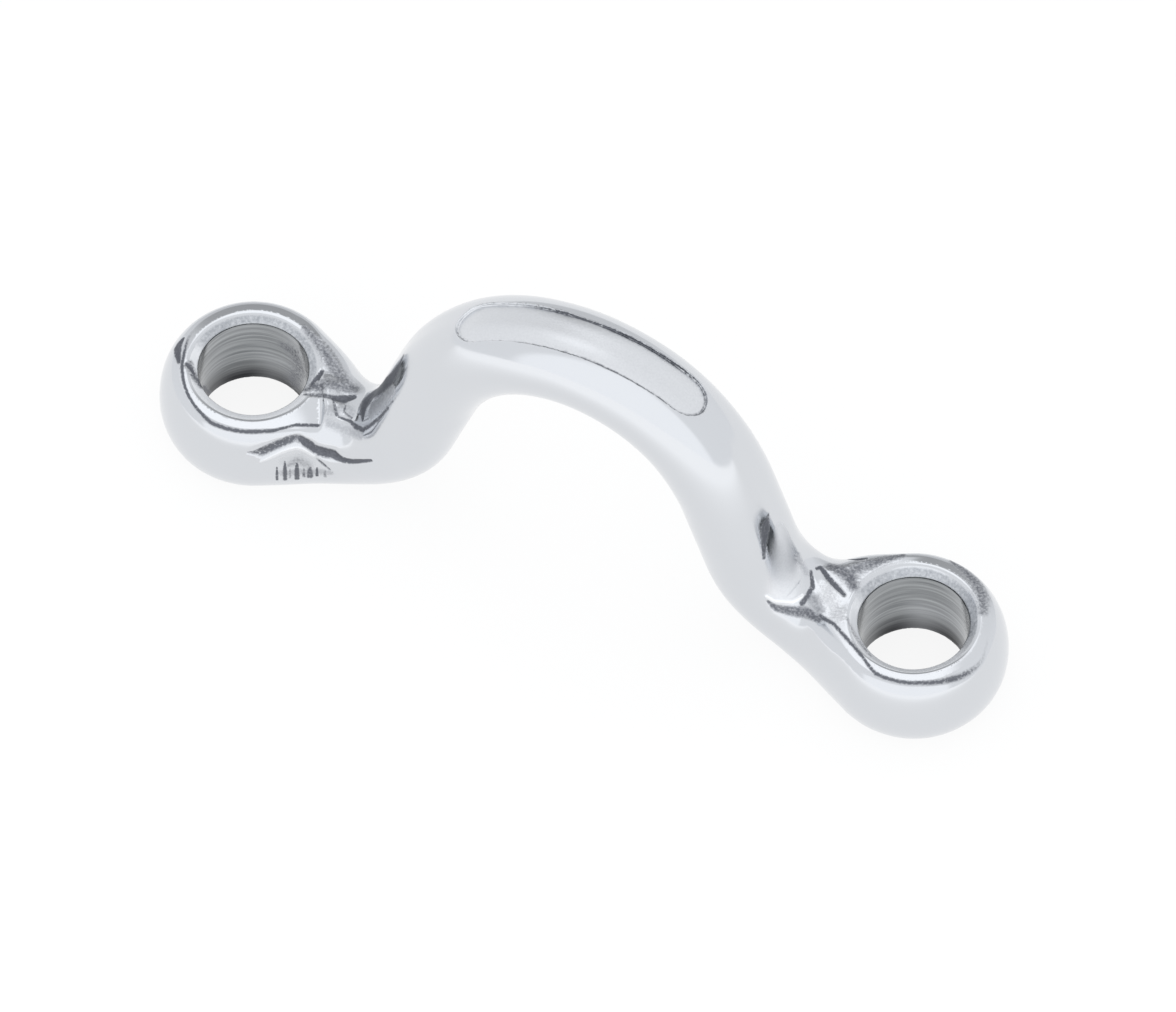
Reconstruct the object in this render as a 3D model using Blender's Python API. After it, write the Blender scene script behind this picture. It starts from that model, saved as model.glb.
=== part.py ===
"""Forged eye strap: two screw eyes joined by an arched bar, all one solid piece of steel.

Metres, +Z up. The strap stands on its two ground seats at z = 0. X runs from one screw
hole to the other, and the origin is midway between the holes, on the deck.
"""
import math

import bmesh
import bpy
from mathutils import Matrix, Vector

MM = 0.001

# Screw eyes. The side of an eye is a barrel that is widest at its waist.
HOLE_SPACING = 38.0 * MM
BORE_RADIUS = 2.9 * MM
EYE_WALL = 2.05 * MM
EYE_HEIGHT = 5.2 * MM
EYE_WAIST_HEIGHT = 2.5 * MM
EYE_SIDE_ROUND = 1.55 * MM
SINK_WIDTH = 0.55 * MM
SINK_DEPTH = 0.45 * MM

# Metal that the forging has to spare where the lands and the seats are machined flat.
LAND_STOCK = 0.3 * MM
SEAT_STOCK = 0.1 * MM
FACING_MARGIN = 0.2 * MM

# Neck, where the eye narrows to the bar. Distances run along the strap from the hole.
NECK_TAPER = math.radians(27.0)
NECK_FILLET = 4.7 * MM
NECK_START = 3.2 * MM
NECK_END = 8.4 * MM

# Bar, with a narrow flat left by the dies along its top and its underside.
BAR_WIDTH = 5.16 * MM
BAR_THICKNESS = 4.88 * MM
BAR_FLAT = 0.7 * MM

# Arch, measured on the middle line of the bar.
ARCH_SPAN = 18.2 * MM
ARCH_RISE = 12.4 * MM
ARCH_POWER = 2.1
CREST_HEIGHT = 17.3 * MM
LEG_ANGLE = math.radians(72.0)
FOOT_FILLET = 5.0 * MM

# Shallow panel that the dies press into the top of the crest, left bare.
PANEL_LENGTH = 11.8 * MM
PANEL_WIDTH = 2.3 * MM
PANEL_DEPTH = 0.18 * MM

# How far a cutting tool runs past the metal, and how close two points must be to be one.
OVERRUN = 2.0 * MM
WELD = 0.001 * MM

# Fineness of the mesh.
SIDE_POINTS = 19
TIP_STEPS = 9
FOOT_STEPS = 8
FILLET_STEPS = 13
LEG_STEPS = 3
ARCH_STEPS = 18
HOLE_STEPS = 64
PANEL_STEPS = 24
PANEL_SIDE_POINTS = 5

# Worked out from the sizes above.
EYE_RADIUS = BORE_RADIUS + EYE_WALL
EYE_X = HOLE_SPACING / 2
LAND_BULGE = EYE_HEIGHT + LAND_STOCK - EYE_WAIST_HEIGHT
SEAT_BULGE = EYE_WAIST_HEIGHT + SEAT_STOCK
BAR_HALF_WIDTH = BAR_WIDTH / 2
BAR_HALF_THICKNESS = BAR_THICKNESS / 2
BAR_SIDE_ROUND = (BAR_WIDTH - BAR_FLAT) / 2


def clear_scene():
    for old in list(bpy.data.objects):
        bpy.data.objects.remove(old, do_unlink=True)


def ease(share):
    """Go smoothly from 0 to 1."""
    share = min(max(share, 0.0), 1.0)
    return share * share * (3 - 2 * share)


def blend(start, end, share):
    return start + (end - start) * share


def steel():
    """Polished stainless steel."""
    material = bpy.data.materials.new("polished_stainless")
    material.use_nodes = True
    shader = material.node_tree.nodes["Principled BSDF"]
    shader.inputs["Base Color"].default_value = (0.68, 0.70, 0.73, 1)
    shader.inputs["Metallic"].default_value = 1.0
    shader.inputs["Roughness"].default_value = 0.16
    return material


def arch_point(slope):
    """Give x and z on the left half of the arch where the bar climbs at this slope."""
    half_span = ARCH_SPAN / 2
    ratio = (math.tan(slope) * half_span / ARCH_RISE) ** (1 / (ARCH_POWER - 1))
    height_share = (1 + ratio ** ARCH_POWER) ** (-1 / ARCH_POWER)
    x = -half_span * ratio * height_share
    z = CREST_HEIGHT - ARCH_RISE * (1 - height_share)
    return x, z


def left_spine():
    """List the stations from the outer tip of the left eye up to the crest.

    A station is the place on the middle line, its slope, and its distance along the
    strap from the middle of the hole, which is negative on the outer half of the eye.
    """
    leg_top_x, leg_top_z = arch_point(LEG_ANGLE)
    leg_foot_z = EYE_WAIST_HEIGHT + FOOT_FILLET * (1 - math.cos(LEG_ANGLE))
    leg_foot_x = leg_top_x - (leg_top_z - leg_foot_z) / math.tan(LEG_ANGLE)
    bend_x = leg_foot_x - FOOT_FILLET * math.sin(LEG_ANGLE)

    places = []
    for step in range(TIP_STEPS):
        outward = EYE_RADIUS * math.cos(math.pi / 2 * step / TIP_STEPS)
        places.append((-EYE_X - outward, EYE_WAIST_HEIGHT, 0.0))
    for step in range(FOOT_STEPS):
        places.append((blend(-EYE_X, bend_x, step / FOOT_STEPS), EYE_WAIST_HEIGHT, 0.0))
    for step in range(FILLET_STEPS):
        slope = LEG_ANGLE * step / FILLET_STEPS
        x = bend_x + FOOT_FILLET * math.sin(slope)
        z = EYE_WAIST_HEIGHT + FOOT_FILLET * (1 - math.cos(slope))
        places.append((x, z, slope))
    for step in range(LEG_STEPS):
        share = step / LEG_STEPS
        x = blend(leg_foot_x, leg_top_x, share)
        z = blend(leg_foot_z, leg_top_z, share)
        places.append((x, z, LEG_ANGLE))
    for step in range(ARCH_STEPS + 1):
        slope = LEG_ANGLE * (1 - step / ARCH_STEPS)
        places.append((*arch_point(slope), slope))

    stations = []
    along = -EYE_RADIUS
    before = places[0]
    for place in places:
        along += math.dist(place[:2], before[:2])
        stations.append((*place, along))
        before = place
    return stations


def outline(along, inset):
    """Half the width of the strap seen from above, moved in by a distance."""
    radius = EYE_RADIUS - inset
    if along < radius * math.sin(NECK_TAPER):
        return math.sqrt(max(radius ** 2 - along ** 2, 0.0))
    fillet = NECK_FILLET + inset
    reach = EYE_RADIUS + NECK_FILLET - (BAR_HALF_WIDTH + NECK_FILLET) * math.cos(NECK_TAPER)
    neck_end = reach / math.sin(NECK_TAPER)
    if along < neck_end - fillet * math.sin(NECK_TAPER):
        return (radius - along * math.sin(NECK_TAPER)) / math.cos(NECK_TAPER)
    left = max(neck_end - along, 0.0)
    return BAR_HALF_WIDTH + NECK_FILLET - math.sqrt(fillet ** 2 - left ** 2)


def section(along):
    """List the half section's points, sideways and upwards, from its underside to its top."""
    neck = ease((along - NECK_START) / (NECK_END - NECK_START))
    side_round = blend(EYE_SIDE_ROUND, BAR_SIDE_ROUND, neck)
    above = blend(LAND_BULGE, BAR_HALF_THICKNESS, neck)
    below = blend(SEAT_BULGE, BAR_HALF_THICKNESS, neck)
    full = math.pi / 2
    if EYE_RADIUS + along < side_round:
        full = math.acos(1 - (EYE_RADIUS + along) / side_round)
    points = []
    for step in range(SIDE_POINTS):
        turn = full * (2 * step / (SIDE_POINTS - 1) - 1)
        sideways = outline(along, side_round * (1 - math.cos(turn)))
        bulge = above if turn > 0 else below
        points.append((sideways, bulge * math.sin(turn)))
    return points


def ring(x, z, slope, along):
    """List one closed ring of points, square to the middle line."""
    half = section(along)
    loop = half + [(-sideways, up) for sideways, up in reversed(half)]
    return [Vector((x - up * math.sin(slope), sideways, z + up * math.cos(slope)))
            for sideways, up in loop]


def loft(name, rings):
    """Skin a row of rings, close both ends and return the object."""
    mesh = bmesh.new()
    rows = [[mesh.verts.new(point) for point in points] for points in rings]
    for row, following in zip(rows, rows[1:]):
        for index in range(len(row)):
            before = index - 1
            mesh.faces.new((row[before], row[index], following[index], following[before]))
    mesh.faces.new(rows[0][::-1])
    mesh.faces.new(rows[-1])
    bmesh.ops.remove_doubles(mesh, verts=mesh.verts[:], dist=WELD)
    bmesh.ops.recalc_face_normals(mesh, faces=mesh.faces[:])
    return finish(name, mesh)


def turned(name, profile, x):
    """Turn a closed profile of radius and height round an upright axis at x."""
    mesh = bmesh.new()
    corners = [mesh.verts.new((radius, 0, height)) for radius, height in profile]
    edges = [mesh.edges.new(pair) for pair in zip(corners, corners[1:])]
    bmesh.ops.spin(mesh, geom=corners + edges, angle=2 * math.pi, steps=HOLE_STEPS,
                   axis=(0, 0, 1), cent=(0, 0, 0), use_merge=True)
    bmesh.ops.remove_doubles(mesh, verts=mesh.verts[:], dist=WELD)
    bmesh.ops.recalc_face_normals(mesh, faces=mesh.faces[:])
    bmesh.ops.transform(mesh, matrix=Matrix.Translation((x, 0, 0)), verts=mesh.verts[:])
    return finish(name, mesh)


def finish(name, mesh):
    """Put a mesh into the scene as a named object."""
    data = bpy.data.meshes.new(name)
    mesh.to_mesh(data)
    mesh.free()
    made = bpy.data.objects.new(name, data)
    bpy.context.scene.collection.objects.link(made)
    return made


def forging():
    """The strap as it leaves the dies, before any machining."""
    left = left_spine()
    rings = [ring(*station) for station in left]
    mirror = Matrix.Diagonal((-1, 1, 1))
    rings += [[mirror @ point for point in points] for points in reversed(rings[:-1])]
    return loft("forged_eye_strap", rings)


def screw_hole_tool(name, x):
    """Piloted cutter that faces the land, sinks the mouth and drills the hole."""
    sink_radius = BORE_RADIUS + SINK_WIDTH
    facing_radius = EYE_RADIUS + FACING_MARGIN
    ceiling = EYE_HEIGHT + LAND_STOCK + OVERRUN
    profile = [(0, -SEAT_STOCK - OVERRUN), (BORE_RADIUS, -SEAT_STOCK - OVERRUN),
               (BORE_RADIUS, EYE_HEIGHT - SINK_DEPTH), (sink_radius, EYE_HEIGHT),
               (facing_radius, EYE_HEIGHT), (facing_radius, ceiling), (0, ceiling)]
    return turned(name, profile, x)


def seat_tool():
    """Block that grinds the undersides of both feet flat and level."""
    mesh = bmesh.new()
    bmesh.ops.create_cube(mesh, size=1)
    depth = SEAT_STOCK + OVERRUN
    length = HOLE_SPACING + 2 * (EYE_RADIUS + OVERRUN)
    width = 2 * (EYE_RADIUS + OVERRUN)
    bmesh.ops.scale(mesh, vec=(length, width, depth), verts=mesh.verts[:])
    bmesh.ops.translate(mesh, vec=(0, 0, -depth / 2), verts=mesh.verts[:])
    return finish("seat_tool", mesh)


def panel_slice(x, z, slope, half_width):
    """One ring of the panel's die: its floor follows the bar's section, its roof is clear."""
    roof = BAR_HALF_THICKNESS + OVERRUN
    round_width = BAR_SIDE_ROUND - PANEL_DEPTH
    round_height = BAR_HALF_THICKNESS - PANEL_DEPTH
    flat = BAR_FLAT / 2
    loop = []
    for step in range(PANEL_SIDE_POINTS):
        sideways = half_width * (1 - 2 * step / (PANEL_SIDE_POINTS - 1))
        off_flat = max(abs(sideways) - flat, 0.0)
        floor = round_height * math.sqrt(1 - (off_flat / round_width) ** 2)
        loop.append((sideways, floor))
    loop += [(-half_width, roof), (half_width, roof)]
    return [Vector((x - up * math.sin(slope), sideways, z + up * math.cos(slope)))
            for sideways, up in loop]


def panel_tool():
    """Die that presses the round-ended panel into the crest."""
    half_width = PANEL_WIDTH / 2
    half_length = PANEL_LENGTH / 2
    crest = [station for station in left_spine() if station[3] > 0]
    crest_along = crest[-1][3]
    rings = []
    for step in range(PANEL_STEPS + 1):
        turn = math.pi * (step + 0.5) / (PANEL_STEPS + 1)
        share = -math.cos(turn)
        from_crest = half_length * share
        overshoot = max(abs(from_crest) - (half_length - half_width), 0.0)
        across = math.sqrt(max(half_width ** 2 - overshoot ** 2, 0.0))
        x, z, slope = place_on_spine(crest, crest_along - abs(from_crest))
        if from_crest > 0:
            x = -x
            slope = -slope
        rings.append(panel_slice(x, z, slope, across))
    return loft("panel_tool", rings)


def place_on_spine(stations, along):
    """Interpolate the middle line at a distance from the hole."""
    for before, after in zip(stations, stations[1:]):
        if along <= after[3]:
            share = (along - before[3]) / (after[3] - before[3])
            return [blend(a, b, share) for a, b in zip(before[:3], after[:3])]
    return list(stations[-1][:3])


def cut(body, tool):
    """Take a tool's shape out of the body."""
    tool.hide_render = True
    tool.display_type = "WIRE"
    modifier = body.modifiers.new(tool.name, "BOOLEAN")
    modifier.operation = "DIFFERENCE"
    modifier.solver = "EXACT"
    modifier.object = tool


def main():
    clear_scene()
    strap = forging()
    strap.data.materials.append(steel())
    strap.data.shade_smooth()
    cut(strap, seat_tool())
    cut(strap, screw_hole_tool("screw_hole_tool_left", -EYE_X))
    cut(strap, screw_hole_tool("screw_hole_tool_right", EYE_X))
    cut(strap, panel_tool())


main()
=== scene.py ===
# %% [markdown]
# # A forged eye strap
# An eye strap is a small steel arch that is screwed to a deck or a spar, so that a line or a
# block can be made fast under it. It is pressed from one bar between dies, trimmed, machined at
# its two screw eyes and then polished. This script dresses the plain solid of the strap in the
# fine skin that the real one has, and gives it its steel, its light and its camera.

# %% Load the solid strap
import math

import bmesh
import bpy
import numpy as np
from mathutils import Matrix, Vector


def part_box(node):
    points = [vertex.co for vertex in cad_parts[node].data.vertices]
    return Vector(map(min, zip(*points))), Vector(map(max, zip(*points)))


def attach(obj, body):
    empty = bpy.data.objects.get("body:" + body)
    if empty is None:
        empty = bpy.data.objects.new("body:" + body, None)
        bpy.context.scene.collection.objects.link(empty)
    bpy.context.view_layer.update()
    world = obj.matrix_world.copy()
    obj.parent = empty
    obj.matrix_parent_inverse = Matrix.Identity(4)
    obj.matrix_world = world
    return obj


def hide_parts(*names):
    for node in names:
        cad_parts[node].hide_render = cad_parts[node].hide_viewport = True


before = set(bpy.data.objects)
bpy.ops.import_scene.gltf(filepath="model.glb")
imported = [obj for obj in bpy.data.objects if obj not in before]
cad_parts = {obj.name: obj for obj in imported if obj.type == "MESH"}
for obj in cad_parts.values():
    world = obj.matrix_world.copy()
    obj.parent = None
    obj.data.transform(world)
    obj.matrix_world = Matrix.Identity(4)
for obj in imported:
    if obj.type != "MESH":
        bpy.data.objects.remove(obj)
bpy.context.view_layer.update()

# %% [markdown]
# ## Sizes
# The overall sizes are measured on the solid, so the skin follows it. The rest are the forging's
# own sizes. All are in millimetres, because that is how a maker thinks of a part this small, and
# one factor turns them into Blender's metres at the end.

# %% Sizes of the strap, in millimetres
MM = 0.001
low, high = (np.array(corner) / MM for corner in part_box("forged_eye_strap"))

EYE_RADIUS = (high[1] - low[1]) / 2
EYE_X = (high[0] - low[0]) / 2 - EYE_RADIUS
BORE_RADIUS = 2.9
SINK_WIDTH = 0.5
SINK_DEPTHS = (0.26, 0.42)
SINK_ROUND = 0.09
LIP_WIDTH = 0.15
EYE_HEIGHT = 5.2
EYE_WAIST = 2.5
EYE_SIDE_ROUND = 1.55
LAND_STOCK = 0.3
SEAT_STOCK = 0.1

NECK_TAPER = math.radians(27)
NECK_FILLET = 4.7
NECK_START = 3.2
NECK_END = 8.4

BAR_HALF_WIDTH = 2.58
BAR_HALF_THICKNESS = 2.44
BAR_HALF_FLAT = 0.35

PANEL_DEPTH = 0.18
PANEL_HALF_LENGTH = 5.9
PANEL_HALF_WIDTH = 1.15
PANEL_OFFSET = -0.2
PANEL_SKEW = 0.045

ARCH_HALF_SPAN = 9.1
ARCH_RISE = 12.4
ARCH_POWER = 2.1
CREST_HEIGHT = high[2] + PANEL_DEPTH - BAR_HALF_THICKNESS
LEG_ANGLE = math.radians(72)
FOOT_FILLET = 5.0
print("hole spacing", round(2 * EYE_X, 2), "mm, eye radius", round(EYE_RADIUS, 2), "mm")

# %% [markdown]
# ## The middle line
# The bar follows one line in the upright plane: flat under the eye, round the foot's fillet,
# straight up the leg and over an arch that is a little squarer than an ellipse. Polished steel
# shows every jump in curvature as a kink in its reflections, so the slope of the line is
# smoothed over about a millimetre before the line is laid out from it.

# %% The middle line, from one end to the other
LINE_STEP = 0.02
LINE_RUNOUT = 8.0
LINE_SMOOTHING = 1.2
SMOOTHING_PASSES = 2
ARCH_STEPS = 300


def arch_point(slope):
    """Place on the left half of the arch where the bar climbs at this slope."""
    ratio = (np.tan(slope) * ARCH_HALF_SPAN / ARCH_RISE) ** (1 / (ARCH_POWER - 1))
    height_share = (1 + ratio ** ARCH_POWER) ** (-1 / ARCH_POWER)
    return -ARCH_HALF_SPAN * ratio * height_share, CREST_HEIGHT - ARCH_RISE * (1 - height_share)


def middle_line():
    """Distance from the left hole, x, z, slope and curvature all along the strap."""
    leg_top_x, leg_top_z = arch_point(LEG_ANGLE)
    leg_foot_z = EYE_WAIST + FOOT_FILLET * (1 - math.cos(LEG_ANGLE))
    leg = (leg_top_z - leg_foot_z) / math.sin(LEG_ANGLE)
    bend_x = leg_top_x - leg * math.cos(LEG_ANGLE) - FOOT_FILLET * math.sin(LEG_ANGLE)
    foot = bend_x + EYE_X
    arch_slopes = np.linspace(LEG_ANGLE, 0, ARCH_STEPS)
    arch = np.array(arch_point(arch_slopes))
    arch_along = np.concatenate([[0], np.cumsum(np.hypot(*np.diff(arch)))])
    leg_end = foot + FOOT_FILLET * LEG_ANGLE + leg
    known = np.concatenate([[-LINE_RUNOUT, foot, foot + FOOT_FILLET * LEG_ANGLE], leg_end + arch_along])
    slopes = np.concatenate([[0, 0, LEG_ANGLE], arch_slopes])
    crest = known[-1]
    along = np.arange(-LINE_RUNOUT, 2 * crest + LINE_RUNOUT, LINE_STEP)
    folded = np.minimum(along, 2 * crest - along)
    slope = np.interp(folded, known, slopes) * np.sign(crest - along)
    window = np.ones(int(LINE_SMOOTHING / LINE_STEP))
    for _ in range(SMOOTHING_PASSES):
        padded = np.pad(slope, len(window), mode="edge")
        slope = np.convolve(padded, window / len(window), mode="same")[len(window):-len(window)]
    middle = int(np.argmin(np.abs(along - crest)))
    x = np.cumsum(np.cos(slope)) * LINE_STEP
    z = np.cumsum(np.sin(slope)) * LINE_STEP
    x -= x[middle]
    z -= z[middle]
    start = int(np.argmin(np.abs(along)))
    x *= EYE_X / -x[start]
    z *= (CREST_HEIGHT - EYE_WAIST) / -z[start]
    z += CREST_HEIGHT
    return along, x, z, slope, np.gradient(slope, LINE_STEP), crest


LINE_ALONG, LINE_X, LINE_Z, LINE_SLOPE, LINE_BEND, CREST_ALONG = middle_line()
print("middle line from hole to crest", round(CREST_ALONG, 2), "mm, peak", round(LINE_Z.max(), 2))

# %% [markdown]
# ## The forging as a distance
# The strap's shape is written as one function: for any point it says roughly how far that point
# lies outside the metal. Cuts are then a maximum, dents and ridges are a sum, and a small blend
# at each maximum gives the worn edge that tumbling and polishing leave. Boolean modifiers could
# face, drill and countersink the eyes too, but they would leave knife edges. A mesh can be pulled
# onto such a shape, which gives even facets and exact reflections.

# %% Where a point lies along the strap
SEARCH_EVERY = 24
SEARCH_BATCH = 20000
SETTLING_PASSES = 5
LEAST_STRETCH = 0.3


def nearest_along(points):
    """A first guess of the distance along the middle line, from a coarse search."""
    guess = np.zeros(len(points))
    for first in range(0, len(points), SEARCH_BATCH):
        part = points[first:first + SEARCH_BATCH]
        gap = (part[:, :1] - LINE_X[::SEARCH_EVERY]) ** 2 + (part[:, 2:] - LINE_Z[::SEARCH_EVERY]) ** 2
        guess[first:first + SEARCH_BATCH] = LINE_ALONG[::SEARCH_EVERY][gap.argmin(axis=1)]
    return guess


def strap_coordinates(points, guess):
    """Distance along the strap from the left hole, and height above its middle line."""
    along = guess.copy()
    for _ in range(SETTLING_PASSES):
        slope = np.interp(along, LINE_ALONG, LINE_SLOPE)
        across_x = points[:, 0] - np.interp(along, LINE_ALONG, LINE_X)
        across_z = points[:, 2] - np.interp(along, LINE_ALONG, LINE_Z)
        ahead = across_x * np.cos(slope) + across_z * np.sin(slope)
        above = across_z * np.cos(slope) - across_x * np.sin(slope)
        bend = np.interp(along, LINE_ALONG, LINE_BEND)
        along = along + ahead / np.maximum(1 - bend * above, LEAST_STRETCH)
    return along, above


def to_hole(along):
    """Distance along the strap from the nearer hole."""
    return np.minimum(along, 2 * CREST_ALONG - along)


def off_axis(points):
    """How far each point lies from the upright axis of the nearer hole."""
    return np.hypot(np.abs(points[:, 0]) - EYE_X, points[:, 1])


print("the right hole lies", round(2 * CREST_ALONG, 2), "mm along, the left one at 0")


# %% Blends
def ease(share):
    """Go smoothly from 0 to 1."""
    share = np.clip(share, 0, 1)
    return share * share * (3 - 2 * share)


def blend(start, end, share):
    """Go from one value to another."""
    return start + (end - start) * share


def larger(a, b, edge):
    """Maximum with its corner worn round over this width."""
    near = np.maximum(edge - np.abs(a - b), 0) / edge
    return np.maximum(a, b) + near * near * edge / 4


def smaller(a, b, edge):
    """Minimum with its corner worn round over this width."""
    return -larger(-a, -b, edge)


print("an edge worn over 1 mm loses", larger(0.0, 0.0, 1.0), "mm at its corner")


# %% The forging before machining
TINY = 1e-9


def inside_outline(along, sideways):
    """How far a point lies inside the strap's outline, seen from above."""
    sine, cosine = math.sin(NECK_TAPER), math.cos(NECK_TAPER)
    neck_end = (EYE_RADIUS + NECK_FILLET - (BAR_HALF_WIDTH + NECK_FILLET) * cosine) / sine
    eye = EYE_RADIUS - np.hypot(along, sideways)
    taper = EYE_RADIUS - along * sine - sideways * cosine
    from_end = along - neck_end
    from_centre = sideways - BAR_HALF_WIDTH - NECK_FILLET
    fillet = np.hypot(from_end, from_centre) - NECK_FILLET
    bar = BAR_HALF_WIDTH - sideways
    inside = np.where(along * cosine < sideways * sine, eye, taper)
    inside = np.where(from_end * cosine > from_centre * sine, fillet, inside)
    return np.where(from_end > 0, bar, inside)


def forging(along, sideways, above):
    """Distance outside the strap as the dies leave it."""
    from_hole = to_hole(along)
    neck = ease((from_hole - NECK_START) / (NECK_END - NECK_START))
    side_round = blend(EYE_SIDE_ROUND, BAR_HALF_WIDTH - BAR_HALF_FLAT, neck)
    top = blend(EYE_HEIGHT + LAND_STOCK - EYE_WAIST, BAR_HALF_THICKNESS, neck)
    under = blend(EYE_WAIST + SEAT_STOCK, BAR_HALF_THICKNESS, neck)
    bulge = np.where(above > 0, top, under)
    outward = np.maximum(side_round - inside_outline(from_hole, np.abs(sideways)), 0)
    reach = np.hypot(outward / side_round, above / bulge)
    steep = np.hypot(outward / side_round ** 2, above / bulge ** 2)
    return (reach - 1) * reach / np.maximum(steep, TINY)


half_widths = inside_outline(np.array([0.0, CREST_ALONG]), 0.0)
print("half widths at the hole and at the crest", half_widths.round(2), "mm")


# %% Machining
WORN_EDGE = 0.16
SOFT_EDGE = 0.8
CRISP_EDGE = 0.06
SINK_RADIUS = BORE_RADIUS + SINK_WIDTH
LIP_RADIUS = SINK_RADIUS + LIP_WIDTH
LIP_SPARE = 0.03
LIP_EDGE = 0.1
LAND_CROWN = 0.16
LAND_LENGTH = 3.86
LAND_LIMIT = 8.0
LAND_END_SLANT = 0.6
LAND_END_SLOPE = 1.0
SOFT_END_SLOPE = 0.35
LAND_EDGE = 0.4
LAND_EDGE_START = 2.0
SOFT_SIDE = 0.2
RIM_GROOVE = 0.07
RIM_GROOVE_WIDTHS = (0.095, 0.115)
RIM_FADE_HEIGHT = 1.5
RIM_FADE_END = 0.4
RIM_FADE_SIDE = 1.5
RIGHT_RIM_STOP = -4.9
RIGHT_RIM_FADE = 1.6
# How far each land's near rim stays inside the eye's outline, at places along the strap.
LEFT_RIM = [(-5, 1.3), (-3, 1.2), (-1.5, 0.98), (-0.5, 0.82), (2.7, 0.88), (3.6, 1.2), (5.5, 1.1)]
RIGHT_RIM = [(-4, 0.65), (-3, 0.82), (-2, 0.95), (0.4, 0.98), (1.5, 1.35), (3.7, 1.47), (4.6, 1.25)]
FAR_RIM = 1.0
RIM_CHANGE = 1.0


def in_panel(along, sideways, above):
    """How far a point lies inside the panel, which the dies struck a little askew on the top."""
    from_crest = along - CREST_ALONG
    overshoot = np.maximum(np.abs(from_crest) - (PANEL_HALF_LENGTH - PANEL_HALF_WIDTH), 0)
    middle = PANEL_OFFSET + PANEL_SKEW * from_crest
    inside = PANEL_HALF_WIDTH - np.hypot(overshoot, sideways - middle)
    return np.where(above > 0, inside, -PANEL_HALF_WIDTH)


def land_rim(along, sideways):
    """How far a point lies inside the rim of its eye's land, which isn't quite even."""
    from_hole = to_hole(along)
    left, right = (np.interp(from_hole, *zip(*rim)) for rim in (LEFT_RIM, RIGHT_RIM))
    uneven = np.where(along < CREST_ALONG, left, right)
    near_side = ease((RIM_CHANGE - sideways) / (2 * RIM_CHANGE))
    return inside_outline(from_hole, np.abs(sideways)) - blend(FAR_RIM, uneven, near_side)


def land_height(from_hole, sideways):
    """Height of the faced land: flat at the lip of the hole, and falling gently away from it."""
    from_axis = np.hypot(from_hole, sideways)
    return EYE_HEIGHT - LAND_CROWN * larger(from_axis - LIP_RADIUS, 0, LIP_EDGE)


def land_end(from_hole, sideways):
    """How far a point lies before the slanting end of the land, on the neck."""
    slanting = LAND_LENGTH - LAND_END_SLANT * sideways - from_hole
    return np.maximum(slanting, LIP_RADIUS - np.hypot(from_hole, sideways))


def rim_line(along, sideways, height):
    """How much of the worn line round a land there is at a point, from 0 to 1."""
    from_hole = to_hole(along)
    width = np.where(along < CREST_ALONG, *RIM_GROOVE_WIDTHS)
    line = np.exp(-(land_rim(along, sideways) / width) ** 2)
    on_top = ease((height - EYE_WAIST) / RIM_FADE_HEIGHT)
    on_top = on_top * ease(land_end(from_hole, sideways) / RIM_FADE_END + 0.5)
    faded = np.where(along < CREST_ALONG, 1, ease((from_hole - RIGHT_RIM_STOP) / RIGHT_RIM_FADE))
    return line * on_top * faded * ease((RIM_FADE_SIDE - sideways) / (2 * RIM_FADE_SIDE))


def faced(shape, along, sideways, height):
    """Cut the land flat. It ends in a step on the left eye's near side, and in a soft ramp
    everywhere else."""
    from_hole = to_hole(along)
    soft = np.where(along < CREST_ALONG, ease(sideways - SOFT_SIDE), 1)
    slope = blend(LAND_END_SLOPE, SOFT_END_SLOPE, soft)
    beyond = larger(-land_end(from_hole, sideways), 0, blend(WORN_EDGE, SOFT_EDGE, soft))
    above_land = (height - land_height(from_hole, sideways) - slope * beyond) / np.hypot(1, slope)
    above_land = np.minimum(above_land, LAND_LIMIT - from_hole)
    on_neck = ease((from_hole - LAND_EDGE_START) / LAND_EDGE_START)
    return larger(shape, above_land, blend(WORN_EDGE, LAND_EDGE, soft * on_neck))


def drilled(shape, points):
    """Face the lip of the hole, bore the eye and sink the mouth of the bore."""
    height = points[:, 2]
    from_axis = off_axis(points)
    shape = larger(shape, np.minimum(height - EYE_HEIGHT - LIP_SPARE, LIP_RADIUS - from_axis), CRISP_EDGE)
    shape = larger(shape, BORE_RADIUS - from_axis, CRISP_EDGE)
    sink_depth = np.where(points[:, 0] < 0, *SINK_DEPTHS)
    lean = np.hypot(SINK_WIDTH, sink_depth)
    below_mouth = np.minimum(height - EYE_HEIGHT, LAND_STOCK)
    sink = BORE_RADIUS + SINK_WIDTH * (1 + below_mouth / sink_depth) - from_axis
    return larger(shape, sink * sink_depth / lean, SINK_ROUND)


def machined(points, guess):
    """Distance outside the strap once it is faced, drilled, sunk and ground flat underneath."""
    along, above = strap_coordinates(points, guess)
    sideways, height = points[:, 1], points[:, 2]
    shape = forging(along, sideways, above)
    panel = in_panel(along, sideways, above)
    shape = larger(shape, smaller(shape + PANEL_DEPTH, panel, CRISP_EDGE), CRISP_EDGE)
    shape = shape + RIM_GROOVE * rim_line(along, sideways, height)
    shape = faced(shape, along, sideways, height)
    shape = drilled(shape, points)
    return larger(shape, -height, CRISP_EDGE)


print("the holes are", 2 * BORE_RADIUS, "mm wide and their countersinks", 2 * SINK_RADIUS, "mm")
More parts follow.
